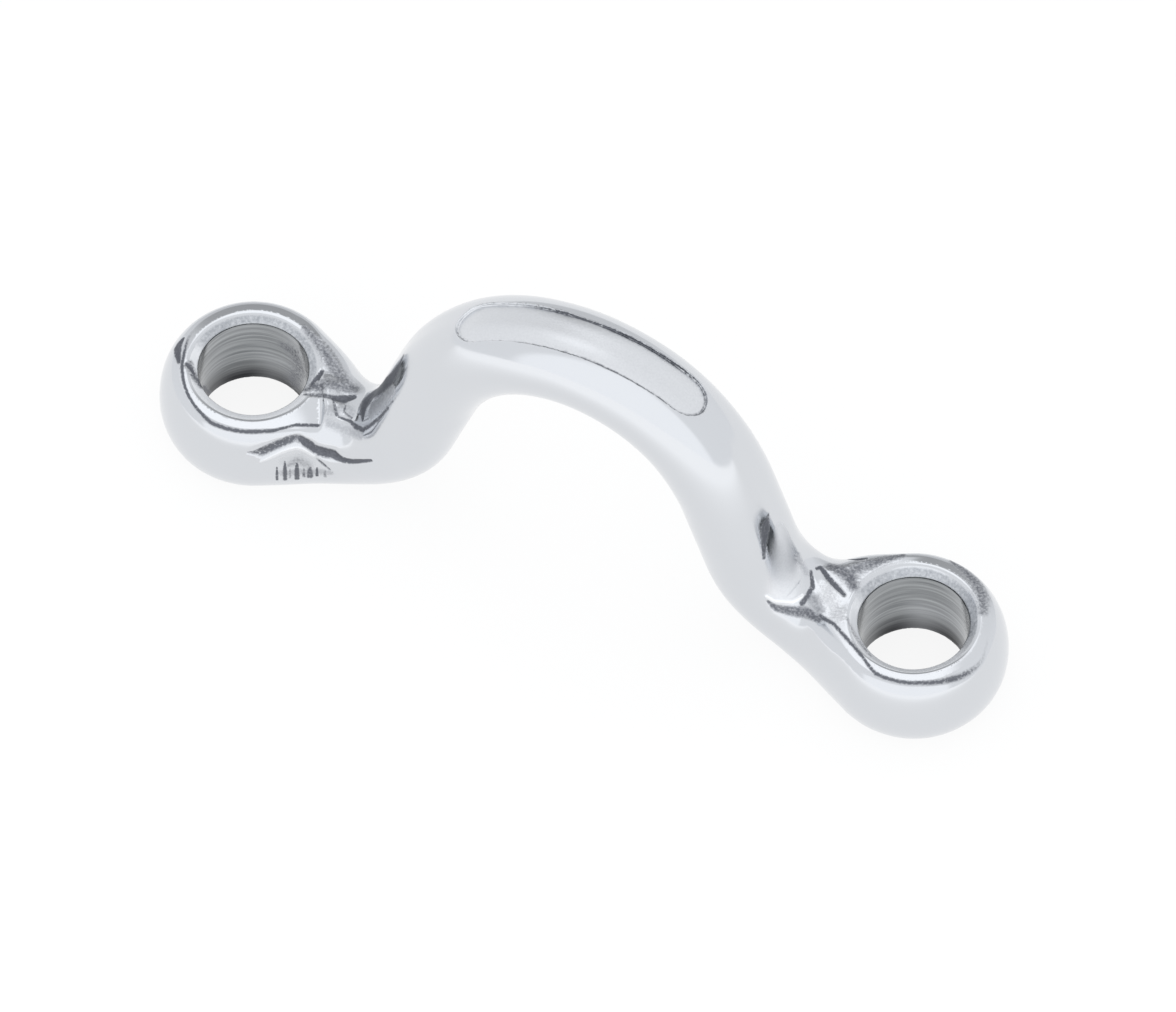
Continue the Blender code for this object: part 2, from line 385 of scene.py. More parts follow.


# %% [markdown]
# ## Marks of the dies and of the trimming
# No two forgings are alike. Where the flash was trimmed, where the dies met and where no wheel
# can reach, this one keeps creases, dents and a rough dark skin. Some of the marks are painted
# shade and painted sheen instead: dark and pale patches laid where the steel only looks dark or
# pale in the light. Each mark is placed where it shows in the photograph: a line of sight is
# followed from that pixel down to the steel, so the mark sits on the metal from every side. A
# sculpting brush could press them in as well, but a line of pixels can be checked against the
# photograph. The low waves of hand polishing and the grain of the scale are sums of slanting
# sine waves, which need no flat layout of the skin.

# %% Lines of sight
PHOTO_WIDTH, PHOTO_HEIGHT = 1176, 1012
CAMERA_AZIMUTH = math.radians(24.9)
CAMERA_ELEVATION = math.radians(55.4)
PIXELS_PER_MM = 19.12
ORIGIN_PIXEL = (582.8, 548.25)
SIGHT_PASSES = 160
SIGHT_STEP_SHARE = 0.7
SIGHT_STEP_LIMITS = (-0.3, 1.0)


def camera_axes():
    """Directions to the right, up and towards the camera, in the photograph."""
    sine, cosine = math.sin(CAMERA_AZIMUTH), math.cos(CAMERA_AZIMUTH)
    up_sine, up_cosine = math.sin(CAMERA_ELEVATION), math.cos(CAMERA_ELEVATION)
    right = np.array([cosine, sine, 0])
    up = np.array([-sine * up_sine, cosine * up_sine, up_cosine])
    towards = np.array([sine * up_cosine, -cosine * up_cosine, up_sine])
    return right, up, towards


def on_steel(pixels):
    """Points of the strap that show at these pixels of the photograph."""
    right, up, towards = camera_axes()
    pixels = np.array(pixels, float)
    to_right, to_up = pixels[:, :1] - ORIGIN_PIXEL[0], ORIGIN_PIXEL[1] - pixels[:, 1:]
    places = (to_right * right + to_up * up) / PIXELS_PER_MM + towards * 2 * CREST_HEIGHT
    for _ in range(SIGHT_PASSES):
        outside = machined(places, nearest_along(places))
        places = places - towards * np.clip(outside, *SIGHT_STEP_LIMITS)[:, None] * SIGHT_STEP_SHARE
    return places


print("one pixel of the photograph is", round(1 / PIXELS_PER_MM, 3), "mm")


# %% The marks
MARKS = {}
MARK_STEP = 4
MARK_REACH = 2.4


def mark(name, line, depth=0, **finish):
    """A furrow, or a ridge if its depth is negative, along a line of pixels.
    Each point of the line is a pixel's x and y and half the furrow's width there, in mm.
    Scale and shade is how dark it is, from the dies' skin on most marks and painted shade on some,
    rough how coarse, dull how far from a mirror, and frost and sheen how pale, from frosting on some
    marks and painted sheen on others. A mark with no depth only colours the steel, and its edge fades."""
    line = np.array(line, float)
    reach = np.concatenate([[0], np.cumsum(np.hypot(*np.diff(line[:, :2], axis=0).T))])
    steps = np.linspace(0, reach[-1], int(reach[-1] / MARK_STEP) + 2)
    line = np.stack([np.interp(steps, reach, column) for column in line.T], axis=1)
    MARKS[name] = {"path": on_steel(line[:, :2]), "widths": line[:, 2], "depth": depth, **finish}


mark("foot crease start", [(248, 453, 0.06), (256, 453, 0.16), (262, 453, 0.3)], 0.1, scale=0.6, rough=0.6)
mark("foot crease rise", [(262, 453, 0.3), (276, 446, 0.27), (289, 440.5, 0.26), (295, 438.6, 0.23),
                          (299, 438.8, 0.21)], 0.14, scale=0.65, rough=0.7)
mark("foot crease fall", [(299, 438.8, 0.21), (303, 440.6, 0.22), (308, 444, 0.24), (315, 449, 0.24),
                          (323, 453, 0.32), (332, 455, 0.31)], 0.15, scale=0.95, rough=0.3)
mark("foot crease tail", [(332, 455, 0.31), (341, 460, 0.22), (351, 462, 0.17), (371, 461, 0.1)],
     0.12, scale=0.95)
# The foot's lip is a low ridge, painted a little pale as a sheen.
mark("foot lip", [(260, 462, 0.06), (268, 459, 0.11), (281, 452.5, 0.14), (290, 449, 0.15),
                  (298, 447.6, 0.15), (305, 450, 0.14), (314, 456, 0.1)], -0.03, dull=0.3, frosted=0.4)
mark("foot dome", [(285, 462, 0.4), (300, 460, 0.6), (310, 464, 0.4)], 0.03, dull=0.65)
mark("foot shade", [(289, 466, 0.25), (298, 460, 0.4), (308, 466, 0.3)], scale=0.26, rough=0.4)
mark("foot skin", [(283, 473, 0.25), (300, 472, 0.3), (318, 472, 0.3), (330, 473, 0.2)],
     scale=0.15, rough=0.9)
mark("foot tear", [(317, 459, 0.06), (323, 464, 0.1), (330, 470, 0.06)], 0.05, scale=0.6)
mark("eye nick", [(183, 338, 0.08), (177, 346, 0.26), (177, 353, 0.2), (179, 362, 0.08)],
     0.05, scale=1.0, rough=0.3)
mark("left rim nick", [(187, 364, 0.14), (192, 370, 0.16)], 0.03, scale=0.7)
# Painted shade: dark reflections on the left side of the left countersink and the right side of its bore,
# laid as dark patches.
mark("left sink shade", [(190, 362, 0.16), (192, 372, 0.28), (200, 385, 0.26), (209, 393, 0.14)], scale=0.55)
mark("left bore shade", [(284, 346, 0.5), (295, 354, 0.9), (300, 368, 1.0), (293, 382, 0.7)], scale=0.42)
mark("right rim nick", [(322, 371, 0.12), (319, 376, 0.18), (312, 383, 0.1)], 0.06, scale=0.9)
mark("neck step", [(304, 394, 0.08), (321, 395, 0.14), (338, 398, 0.18)], 0.04, scale=0.55, rough=0.6)
mark("neck pit", [(334, 398, 0.16), (344, 399, 0.26), (354, 397, 0.16)], 0.06, scale=1.0, rough=0.6)
mark("neck cut", [(346, 405, 0.06), (344, 412, 0.06), (352, 418, 0.07)], 0.02, scale=0.5)
mark("neck crack", [(334, 402, 0.08), (337, 415, 0.1)], 0.04, scale=0.6)
mark("neck hollow", [(381, 388, 0.42), (373, 394, 0.5), (367, 401, 0.5), (364, 410, 0.32), (363, 419, 0.14)],
     0.02, scale=0.85, rough=0.5)
mark("leg hollow", [(404, 356, 0.08), (399, 368, 0.24), (392, 379, 0.36), (381, 388, 0.42)],
     0.02, scale=0.95, rough=0.4)
mark("neck fold", [(339, 417, 0.06), (350, 421, 0.1), (356, 427, 0.16), (363, 430, 0.15)], 0.05, scale=0.75)
mark("neck fold end", [(363, 430, 0.15), (370, 426, 0.13), (380, 418, 0.11), (389, 408, 0.08)],
     0.01, scale=0.65)
mark("far neck skin", [(304, 327, 0.2), (315, 340, 0.3), (326, 353, 0.4), (334, 368, 0.5), (346, 384, 0.5)],
     scale=0.4, rough=0.6, dull=0.65)
mark("neck skin", [(320, 385, 0.4), (330, 383, 0.5), (353, 389, 0.5)], scale=0.43, rough=0.6, dull=0.65)
mark("neck stain", [(306, 390, 0.2), (313, 386, 0.35), (322, 387, 0.4)], scale=0.52, rough=0.6, dull=0.65)
mark("neck facets", [(328, 410, 0.35), (345, 408, 0.45), (352, 414, 0.3)], scale=0.12, rough=0.6, dull=0.65)
mark("neck foot", [(330, 424, 0.3), (344, 429, 0.35), (360, 434, 0.35)], rough=0.5, dull=0.9)
mark("leg hollow skin", [(371, 412, 0.4), (382, 402, 0.45), (393, 389, 0.35)], scale=0.2, rough=0.9, dull=0.6)
mark("leg nick", [(767, 515, 0.1), (765, 523, 0.28), (764, 531, 0.38), (763, 542, 0.2), (763, 558, 0.1)],
     0.015, scale=0.6, rough=0.4)
# The pad and its lip are dulled and painted pale: partly frosting, partly painted sheen.
mark("pad", [(778, 530, 0.5), (781, 545, 0.9), (784, 568, 1.1), (784, 588, 1.0)], dull=1.0, frosted=0.5)
mark("pad lip", [(766, 596, 0.09), (774, 601, 0.11), (792, 601, 0.11), (802, 595, 0.09)],
     -0.05, dull=0.5, frosted=1.0)
mark("pad shadow", [(767, 601, 0.08), (775, 608, 0.22), (792, 611, 0.3), (806, 612, 0.34), (818, 619, 0.2)],
     0.05, scale=0.5, rough=1.0, dull=0.8)
mark("pad side", [(801, 603, 0.16), (806, 596, 0.14), (812, 586, 0.14), (810, 571, 0.1)],
     0.05, scale=0.7, rough=0.4)
mark("pad back", [(796, 556, 0.3), (806, 573, 0.25)], scale=0.1, rough=0.5, dull=0.65)
mark("right neck skin", [(812, 598, 0.35), (818, 610, 0.35)], scale=0.3, rough=1.0, dull=0.65)
mark("right neck fold", [(816, 568, 0.1), (820, 567, 0.14), (827, 577, 0.16), (834, 585, 0.16),
                         (843, 594, 0.1)], 0.06, scale=0.8, rough=0.4)
# The right neck's facet is dulled and painted pale, partly as painted sheen.
mark("right neck facet", [(826, 588, 0.45), (829, 600, 0.6), (838, 618, 0.35)],
     rough=0.5, dull=0.65, frosted=0.5)
mark("right neck hollow", [(830, 566, 0.3), (840, 570, 0.45), (849, 577, 0.5), (852, 586, 0.35)],
     scale=0.5, rough=0.8, dull=0.65)
mark("right neck hollow end", [(852, 570, 0.45), (868, 564, 0.4), (884, 559, 0.32), (902, 555, 0.2)],
     scale=0.45, rough=0.6, dull=0.65)
mark("far dash", [(848, 559, 0.06), (857, 559, 0.1), (866, 558, 0.06)], 0.05, scale=1.0)
# Painted shade: a dark reflection on the far land of the right eye, laid as a dark patch.
mark("far land shade", [(950, 561, 0.2), (964, 570, 0.36), (975, 582, 0.5), (981, 597, 0.5),
                        (981, 611, 0.34)], scale=0.42, rough=0.2, dull=0.7)
# Painted shade: dark reflections on both sides of the right countersink, laid as dark patches.
mark("right sink shade", [(846, 618, 0.12), (852, 632, 0.2), (861, 645, 0.2), (869, 655, 0.12)], scale=0.3)
mark("right sink end shade", [(973, 622, 0.1), (969, 632, 0.16), (962, 643, 0.16), (955, 650, 0.1)],
     scale=0.26)

# Each stroke has a pixel column, its top and bottom pixels, half its width in mm and its darkness.
STROKES = [(277, 467, 480, 0.08, 0.7), (285, 462, 480, 0.12, 0.7), (290, 469, 478, 0.08, 0.4),
           (297, 464, 479, 0.14, 0.8), (304, 469, 477, 0.1, 0.5), (310, 468, 477, 0.18, 0.6),
           (317, 468, 476, 0.08, 0.9), (325, 471, 477, 0.1, 0.4)]
for x, top, bottom, width, dark in STROKES:
    middle = (top + bottom) / 2
    mark(f"stroke {x}", [(x, top, width / 2), (x, middle, width), (x, bottom, width)], 0.03, scale=dark)


def from_line(points, path, widths):
    """How far each point lies from a line of straight runs, in widths of the line there."""
    closest = np.full(len(points), np.inf)
    for start, end, start_width, end_width in zip(path, path[1:], widths, widths[1:]):
        run = end - start
        share = np.clip(((points - start) @ run) / max(run @ run, TINY), 0, 1)
        away = np.linalg.norm(points - start - share[:, None] * run, axis=1)
        closest = np.minimum(closest, away / blend(start_width, end_width, share))
    return closest


def near_marks(points, *values):
    """What the marks do at each point: the sum of their depths, or the most of a finish.
    A finish ends sharply where the mark is a furrow, and fades where it is only a stain."""
    totals = [np.zeros(len(points)) for value in values]
    for item in MARKS.values():
        reach = MARK_REACH * item["widths"].max()
        lowest, highest = item["path"].min(axis=0) - reach, item["path"].max(axis=0) + reach
        near = np.all((points > lowest) & (points < highest), axis=1)
        if near.any():
            away = from_line(points[near], item["path"], item["widths"])
            for total, value in zip(totals, values):
                if value == "depth":
                    total[near] += item["depth"] * np.exp(-away ** 2)
                else:
                    faded = np.exp(-away ** (4 if item["depth"] else 2))
                    total[near] = np.maximum(total[near], item.get(value, 0) * faded)
    return totals


print(len(MARKS), "marks, the first at", MARKS["foot crease start"]["path"][0].round(2))


# %% Grain and waviness
HAND_POLISH = 0.012
HAND_POLISH_SIZE = 3.2
HAND_POLISH_SEED = 4
GRAIN_DEPTH = 0.012
GRAIN_SIZE = 0.25
GRAIN_SEED = 5
WAVE_COUNT = 7
WAVE_SPREAD = (0.7, 1.4)
WAVE_STARTS = 6.3
WAVE_PEAK = 1.5


def waves(points, size, seed):
    """A soft random field of bumps of about this size, between about -1 and 1."""
    chance = np.random.default_rng(seed)
    total = np.zeros(len(points))
    for _ in range(WAVE_COUNT):
        direction = chance.normal(size=3)
        direction *= 2 * math.pi / size / np.linalg.norm(direction)
        total += np.sin(points @ direction * chance.uniform(*WAVE_SPREAD) + chance.uniform(0, WAVE_STARTS))
    return total / WAVE_COUNT ** 0.5 / WAVE_PEAK


def strap(points, guess):
    """Distance outside the finished strap, with its marks."""
    depth, rough = near_marks(points, "depth", "rough")
    shape = machined(points, guess) + depth
    shape = shape + HAND_POLISH * waves(points, HAND_POLISH_SIZE, HAND_POLISH_SEED)
    coarse = rough > 0
    if coarse.any():
        shape[coarse] += GRAIN_DEPTH * rough[coarse] * waves(points[coarse], GRAIN_SIZE, GRAIN_SEED)
    return shape


print("polishing leaves waves", HAND_POLISH_SIZE, "mm long, and scale a grain of", GRAIN_SIZE, "mm")


# %% [markdown]
# ## The skin
# The solid's own mesh has long thin triangles. Geometry Nodes turn a copy of it into a volume and
# back into a mesh of small even squares. Each corner then slides along the slope of the distance
# until it lies on the strap's true surface, and takes its normal from that slope, so the
# reflections are those of the real curve and not of the facets. Squares near a mark or an edge
# are split in four, twice, and slid again: fine where there is something to see, and light
# everywhere else.

# %% A tree that makes even squares
VOXEL = 0.24
MESH_WELD = 0.001
WRAP_THRESHOLD = 0.05


def new_group(name, tree_kind, inputs, outputs):
    """A node group with these sockets. Returns it, what it is given and what it puts out."""
    tree = bpy.data.node_groups.new(name, tree_kind)
    for way, sockets in (("INPUT", inputs), ("OUTPUT", outputs)):
        for label, kind in sockets.items():
            tree.interface.new_socket(label, in_out=way, socket_type="NodeSocket" + kind)
    return tree, tree.nodes.new("NodeGroupInput").outputs, tree.nodes.new("NodeGroupOutput").inputs


def even_squares_tree():
    """Geometry Nodes: weld, fill with a volume and wrap that in even squares."""
    inputs = {"Geometry": "Geometry", "Square Size": "Float", "Weld Distance": "Float",
              "Material": "Material"}
    tree, given, result = new_group("even squares", "GeometryNodeTree", inputs, {"Geometry": "Geometry"})
    weld = tree.nodes.new("GeometryNodeMergeByDistance")
    fill = tree.nodes.new("GeometryNodeMeshToVolume")
    fill.resolution_mode = "VOXEL_SIZE"
    wrap = tree.nodes.new("GeometryNodeVolumeToMesh")
    wrap.inputs["Threshold"].default_value = WRAP_THRESHOLD
    real = tree.nodes.new("GeometryNodeRealizeInstances")
    dress = tree.nodes.new("GeometryNodeSetMaterial")
    link = tree.links.new
    link(given["Geometry"], weld.inputs["Geometry"])
    link(given["Weld Distance"], weld.inputs["Distance"])
    link(weld.outputs["Geometry"], fill.inputs["Mesh"])
    link(given["Square Size"], fill.inputs["Voxel Size"])
    link(given["Square Size"], fill.inputs["Interior Band Width"])
    link(fill.outputs["Volume"], wrap.inputs["Volume"])
    link(wrap.outputs["Mesh"], real.inputs["Geometry"])
    link(real.outputs["Geometry"], dress.inputs["Geometry"])
    link(given["Material"], dress.inputs["Material"])
    link(dress.outputs["Geometry"], result["Geometry"])
    return tree


def through_tree(blank, tree, settings):
    """The plain mesh that a Geometry Nodes tree with these settings makes of an object."""
    modifier = blank.modifiers.new(tree.name, "NODES")
    modifier.node_group = tree
    for item in tree.interface.items_tree:
        if item.in_out == "INPUT" and item.name in settings:
            modifier[item.identifier] = settings[item.name]
    bpy.context.view_layer.update()
    evaluated = blank.evaluated_get(bpy.context.evaluated_depsgraph_get())
    mesh = bpy.data.meshes.new_from_object(evaluated)
    blank.modifiers.remove(modifier)
    return mesh


def add_object(name, data):
    """Put a mesh, a lamp or a camera into the scene."""
    made = bpy.data.objects.new(name, data)
    bpy.context.scene.collection.objects.link(made)
    return made


steel = bpy.data.materials.new("polished_stainless")
blank_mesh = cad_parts["forged_eye_strap"].data.copy()
blank_mesh.transform(Matrix.Scale(1 / MM, 4))
blank = add_object("blank", blank_mesh)
settings = {"Square Size": VOXEL, "Weld Distance": MESH_WELD, "Material": steel}
skin = through_tree(blank, even_squares_tree(), settings)
bpy.data.objects.remove(blank)
print("even skin:", len(skin.polygons), "squares")


# %% Slide the skin onto the strap's true surface
PROBE = 0.004
LEAST_SLOPE = 0.05
LONGEST_STEP = 0.2
FIRST_PASSES = 3
LATER_PASSES = 2
MEASURED_SHARE = 0.999


def slope_of(points, guess):
    """Distance outside the strap and the direction in which it grows."""
    here = strap(points, guess)
    grow = np.zeros_like(points)
    for axis in range(3):
        moved = points.copy()
        moved[:, axis] += PROBE
        behind = points.copy()
        behind[:, axis] -= PROBE
        grow[:, axis] = (strap(moved, guess) - strap(behind, guess)) / (2 * PROBE)
    return here, grow


def slide(mesh, passes):
    """Move each corner onto the strap. Returns the corners and their normals."""
    flat = np.zeros(len(mesh.vertices) * 3)
    mesh.vertices.foreach_get("co", flat)
    points = flat.reshape(-1, 3)
    guess = nearest_along(points)
    for _ in range(passes):
        guess, _above = strap_coordinates(points, guess)
        outside, grow = slope_of(points, guess)
        steep = np.maximum((grow ** 2).sum(axis=1), LEAST_SLOPE)
        points -= np.clip(outside / steep, -LONGEST_STEP, LONGEST_STEP)[:, None] * grow
    outside, grow = slope_of(points, guess)
    mesh.vertices.foreach_set("co", points.ravel())
    mesh.update()
    left = float(np.quantile(np.abs(outside), MEASURED_SHARE))
    print("distance left to the true surface:", round(left, 4), "mm")
    return points, grow / np.linalg.norm(grow, axis=1)[:, None]


# %% Split the squares where there is something to see
STAIN_SPARE = 0.19
RIM_SEEN = 1.2
MOUTH_SEEN = 0.8
SPLIT_REACHES = [0.35, 0.15]


def to_detail(points):
    """About how far each point lies from a mark, a machined edge or the panel's rim."""
    along, above = strap_coordinates(points, nearest_along(points))
    rim = np.hypot(land_rim(along, points[:, 1]), np.maximum(EYE_HEIGHT - RIM_SEEN - points[:, 2], 0))
    end = land_end(to_hole(along), points[:, 1])
    rim = np.hypot(rim, np.maximum(-end, 0))
    step = np.abs(end) + np.where((along < CREST_ALONG) & (points[:, 1] < 0), 0, LINE_RUNOUT)
    low_on_eye = np.maximum(EYE_HEIGHT - MOUTH_SEEN - points[:, 2], 0)
    rim = np.minimum(rim, step + low_on_eye)
    from_axis = off_axis(points)
    from_edge = np.abs(from_axis[:, None] - (BORE_RADIUS, SINK_RADIUS, LIP_RADIUS)).min(axis=1)
    mouth = np.hypot(from_edge, low_on_eye)
    mouth = np.minimum(mouth, np.hypot(from_axis - BORE_RADIUS, points[:, 2]))
    panel = np.abs(in_panel(along, points[:, 1], above))
    closest = np.minimum(np.minimum(rim, mouth), panel)
    for item in MARKS.values():
        away = (from_line(points, item["path"], item["widths"]) - 1) * item["widths"].mean()
        closest = np.minimum(closest, away if item["depth"] else away + STAIN_SPARE)
    return closest


def split_near(mesh, reach):
    """Split in four each square that lies nearer to a detail than this."""
    centres = np.zeros(len(mesh.polygons) * 3)
    mesh.polygons.foreach_get("center", centres)
    near = to_detail(centres.reshape(-1, 3)) < reach
    grid = bmesh.new()
    grid.from_mesh(mesh)
    edges = {edge for face, split in zip(grid.faces, near) if split for edge in face.edges}
    bmesh.ops.subdivide_edges(grid, edges=list(edges), cuts=1, use_grid_fill=True)
    grid.to_mesh(mesh)
    grid.free()


slide(skin, FIRST_PASSES)
for reach in SPLIT_REACHES:
    split_near(skin, reach)
    points, normals = slide(skin, LATER_PASSES)
triangles = sum(len(face.vertices) - 2 for face in skin.polygons)
print("split skin:", len(skin.polygons), "faces,", triangles, "triangles")

# %% Make the skin an object
cad_low, cad_high = low * MM, high * MM
# The waves of the polish are kept from carrying the skin past the solid's own box.
finished = np.clip(points * MM, cad_low, cad_high)
skin.vertices.foreach_set("co", finished.ravel())
skin.update()
skin.polygons.foreach_set("use_smooth", [True] * len(skin.polygons))
skin.normals_split_custom_set_from_vertices(normals.tolist())
strap_skin = add_object("strap_skin", skin)
print("strap skin:", len(skin.vertices), "corners")

# %% [markdown]
# ## Where the finishes lie
# Most of the strap is polished, its holes are cut, its panel is pressed and its folds keep dark
# scale. A painted picture could say which is where, but the skin would have to be laid out flat
# for it. Here each corner keeps one number for each finish, worked out from the distances that
# shape the strap, so a finish ends where its cut does. A few dark and pale places are painted
# reflections and painted shade, laid on the steel as finishes.

# %% Store one number for each corner
# Shares from 0 to 1, and lengths in mm from the edge or the crest that a finish follows.
# How dark the rim line is on the left and the right eye: partly scale, partly painted shade of its groove.
RIM_SCALE_AND_SHADE = (0.85, 0.7)
# Painted shade along the foot of the panel's wall: how dark it is, its place, width, start, rise, thinning
# and loss.
WALL_SHADE = 0.75
WALL_SHADE_INSET = 0.04
WALL_SHADE_WIDTH = 0.07
WALL_SHADE_START = -4.5
WALL_SHADE_RISE = 4
WALL_SHADE_THIN = 4
WALL_SHADE_LOSS = 0.4
BORE_SPARE = 0.05
BORE_FADE = 0.06
SINK_SPARE = 0.01
SINK_LEAN = 0.07
SINK_FADE = 0.1
# Painted sheen on the near side of each countersink: how pale it is, and how sharply it ends towards the far
# side.
SINK_SHEEN = 0.8
PALE_SIDE = 1.2
SEAT_DULL = 0.7
SEAT_REACH = 0.02
PANEL_FADE = 0.3


def store(mesh, name, values):
    """Keep one number for each corner of a mesh, for its material to read."""
    layer = mesh.attributes.new(name, "FLOAT", "POINT")
    layer.data.foreach_set("value", values.astype(np.float32))
    print(name, "covers", round(float((values > 0.5).mean()) * 100, 1), "% of the corners")


def panel_wall_shade(along, panel):
    """Painted shade at the foot of the panel's wall. It starts left of the crest and thins out on the right.
    """
    from_crest = along - CREST_ALONG
    at_wall = np.exp(-((panel - WALL_SHADE_INSET) / WALL_SHADE_WIDTH) ** 2)
    started = ease((from_crest - WALL_SHADE_START) / WALL_SHADE_RISE)
    return at_wall * started * (1 - WALL_SHADE_LOSS * ease(from_crest - WALL_SHADE_THIN))


def hole_finishes(points):
    """How far each point is bored and countersunk, and how much the countersink's near side is dulled and
    painted pale as a sheen.
    """
    sideways = points[:, 1]
    from_axis = off_axis(points)
    bored = ease((BORE_RADIUS + BORE_SPARE - from_axis) / BORE_FADE)
    top_of_sink = SINK_RADIUS - SINK_SPARE - SINK_LEAN * sideways / from_axis
    sunk = ease((top_of_sink - from_axis) / SINK_FADE) * (1 - bored) * (points[:, 2] > EYE_WAIST)
    return bored, sunk, sunk * ease(0.5 - PALE_SIDE * sideways / from_axis)


def finishes(points):
    """How much of each finish each point has, from none at 0 to all of it at 1."""
    along, above = strap_coordinates(points, nearest_along(points))
    height = points[:, 2]
    scale, rough, dull, frosted = near_marks(points, "scale", "rough", "dull", "frosted")
    # The rim line's dark is partly scale and partly painted shade in its groove.
    rim_scale = np.where(along < CREST_ALONG, *RIM_SCALE_AND_SHADE)
    scale = np.maximum(scale, rim_scale * rim_line(along, points[:, 1], height))
    panel = in_panel(along, points[:, 1], above)
    scale = np.maximum(scale, WALL_SHADE * panel_wall_shade(along, panel))
    # The near side of each countersink is dulled and painted pale: painted sheen.
    bored, sunk, pale_near_side = hole_finishes(points)
    dull = np.maximum(dull, np.maximum(pale_near_side, SEAT_DULL * (height < SEAT_REACH)))
    frosted = np.maximum(frosted, SINK_SHEEN * pale_near_side)
    return {"scale": scale, "rough": rough, "dull": dull, "frosted": frosted, "bored": bored,
            "sunk": sunk, "panel": ease(panel / PANEL_FADE + 0.5)}


MASKS = finishes(points)
for name, values in MASKS.items():
    store(skin, name, np.clip(values, 0, 1))


# %% [markdown]
# ## Steel
# Polished stainless steel is a metal of one colour whose looks come from its surroundings. What
# breaks the mirror is what tells the story: fine polishing lines, a cool grey bore with the
# drill's rings, and the dark grainy scale left in the folds. Some of the dark and pale is painted
# shade and painted sheen: the bore's foot, the sides of the holes, the far land of the right eye,
# the rim lines, the foot of the panel's wall, the near sides of the countersinks and a few pale
# patches. The grain and the tool's lines are node groups, because more than one finish uses them,
# each with its own values.

# %% Helpers for shader trees
def joined(tree, kind, links=None, **settings):
    """Add a node, set its properties, and link its inputs or give them plain values."""
    node = tree.nodes.new("ShaderNode" + kind)
    for name, value in settings.items():
        setattr(node, name, value)
    for name, value in (links or {}).items():
        if isinstance(value, bpy.types.NodeSocket):
            tree.links.new(value, node.inputs[name])
        else:
            node.inputs[name].default_value = value
    return node


def math_node(tree, operation, *values):
    """The result of one sum on two or three values."""
    return joined(tree, "Math", dict(enumerate(values)), operation=operation).outputs[0]


def mixed_colour(tree, share, first, second):
    """A mix of two colours. The node has sockets for other kinds too, so these go by number."""
    return joined(tree, "Mix", {0: share, 6: first, 7: second}, data_type="RGBA").outputs[2]


def smooth_range(tree, value, start, end, low=0.0, high=1.0):
    """Go smoothly from low to high while a value goes from start to end."""
    links = {"Value": value, "From Min": start, "From Max": end, "To Min": low, "To Max": high}
    return joined(tree, "MapRange", links, interpolation_type="SMOOTHSTEP").outputs[0]


def dot_product(tree, direction, aim):
    """How far a direction or a place lies along another: 1 for two directions that agree."""
    return joined(tree, "VectorMath", {0: direction, 1: aim}, operation="DOT_PRODUCT").outputs["Value"]


print("four kinds of node have a short name now")


# %% Group: grain that breaks up a mask
GRAIN_DETAIL = 2.5
GRAIN_ROUGHNESS = 0.65
BROKEN_EDGE = (0.05, 0.65)


def grain_group():
    """A noise of one size, and a mask whose edge that noise has eaten into."""
    inputs = {"Mask": "Float", "Grain Size mm": "Float", "Break Up": "Float"}
    group, given, result = new_group("grain", "ShaderNodeTree", inputs, {"Grain": "Float", "Mask": "Float"})
    place = joined(group, "TexCoord").outputs["Object"]
    frequency = math_node(group, "DIVIDE", 1 / MM, given["Grain Size mm"])
    noise = joined(group, "TexNoise", {"Vector": place, "Scale": frequency,
                                       "Detail": GRAIN_DETAIL, "Roughness": GRAIN_ROUGHNESS})
    grain = noise.outputs[0]
    centred = math_node(group, "SUBTRACT", grain, 0.5)
    push = math_node(group, "MULTIPLY_ADD", centred, given["Break Up"], 1.0)
    pushed = math_node(group, "MULTIPLY", given["Mask"], push)
    group.links.new(grain, result["Grain"])
    group.links.new(smooth_range(group, pushed, *BROKEN_EDGE), result["Mask"])
    return group


GRAIN = grain_group()
print("node group", GRAIN.name, "with", len(GRAIN.nodes), "nodes")

# %% Group: lines that a wheel or a cutter leaves
LINES_DETAIL = 2.0


def tool_lines_group():
    """Fine lines, long across one direction and short along the other."""
    inputs = {"Line Width mm": "Float", "Stretch": "Vector"}
    group, given, result = new_group("tool lines", "ShaderNodeTree", inputs, {"Lines": "Float"})
    place = joined(group, "TexCoord").outputs["Object"]
    stretched = joined(group, "VectorMath", {0: place, 1: given["Stretch"]}, operation="MULTIPLY")
    frequency = math_node(group, "DIVIDE", 1 / MM, given["Line Width mm"])
    noise = joined(group, "TexNoise", {"Vector": stretched.outputs[0], "Scale": frequency,
                                       "Detail": LINES_DETAIL})
    group.links.new(noise.outputs[0], result["Lines"])
    return group


TOOL_LINES = tool_lines_group()
print("node group", TOOL_LINES.name, "with", len(TOOL_LINES.nodes), "nodes")

# %% Colours of the steel
POLISHED = (0.675, 0.693, 0.722, 1)
# Frost and sheen: pale frosting on a few marks, and painted sheen where the steel looks pale in the light.
FROST_AND_SHEEN = (0.87, 0.885, 0.91, 1)
SINK_DARK = (0.20, 0.22, 0.25, 1)
SINK_LIGHT = (0.82, 0.84, 0.87, 1)
# The bore's rings are dark, partly as painted shade inside the hole, and its foot is painted darker still as
# shade.
BORE_DARK = (0.04, 0.045, 0.055, 1)
BORE_LIGHT = (0.48, 0.50, 0.51, 1)
BORE_FOOT_SHADE = (0.012, 0.013, 0.016, 1)
PANEL_DARK = (0.68, 0.695, 0.72, 1)
PANEL_LIGHT = (0.84, 0.855, 0.88, 1)
# Scale and shade: the dies' dark skin, and painted shade laid in the same colours.
SCALE_AND_SHADE_DARK = (0.055, 0.06, 0.075, 1)
SCALE_AND_SHADE_LIGHT = (0.26, 0.27, 0.30, 1)
BORE_SHADE_SPAN = (0.3, 1.9)
PANEL_SHARE = 0.8
SPECKLE_SHARE = 0.3


